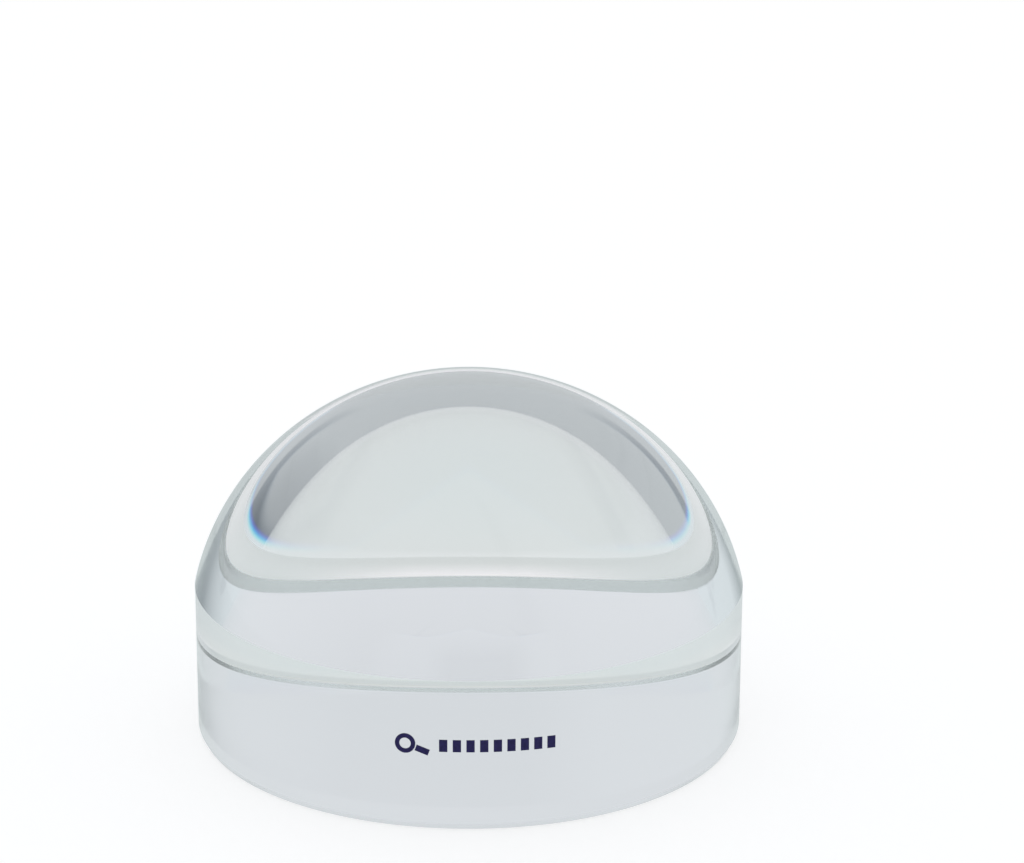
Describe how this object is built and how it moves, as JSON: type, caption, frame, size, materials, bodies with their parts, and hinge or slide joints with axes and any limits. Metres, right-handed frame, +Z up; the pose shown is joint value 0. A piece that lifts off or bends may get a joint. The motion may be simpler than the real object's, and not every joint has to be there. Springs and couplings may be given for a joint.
{
  "type": "dome magnifier",
  "caption": "Solid clear acrylic dome magnifier: a domed top on a short round wall with a flat polished base, stood on a page to enlarge and brighten print.",
  "frame": {"origin": "centre of the flat base that stands on the page", "axes": "+Z up along the optical axis, through the crown of the dome; -Y out through the printed mark; +X to the mark's right as it is read"},
  "size_m": [0.095, 0.0951, 0.0621],
  "materials": {
    "clear_acrylic": "polished clear acrylic (PMMA, refractive index 1.49), with a narrow chamfer round the base edge",
    "printed_ink": "satin dark violet-blue pad-printing ink"
  },
  "bodies": {
    "root": {"lens_body": "clear_acrylic", "mark_ring": "printed_ink", "mark_handle": "printed_ink", "mark_bar_1": "printed_ink", "mark_bar_2": "printed_ink", "mark_bar_3": "printed_ink", "mark_bar_4": "printed_ink", "mark_bar_5": "printed_ink", "mark_bar_6": "printed_ink", "mark_bar_7": "printed_ink", "mark_bar_8": "printed_ink", "mark_bar_9": "printed_ink"}
  },
  "joints": []
}
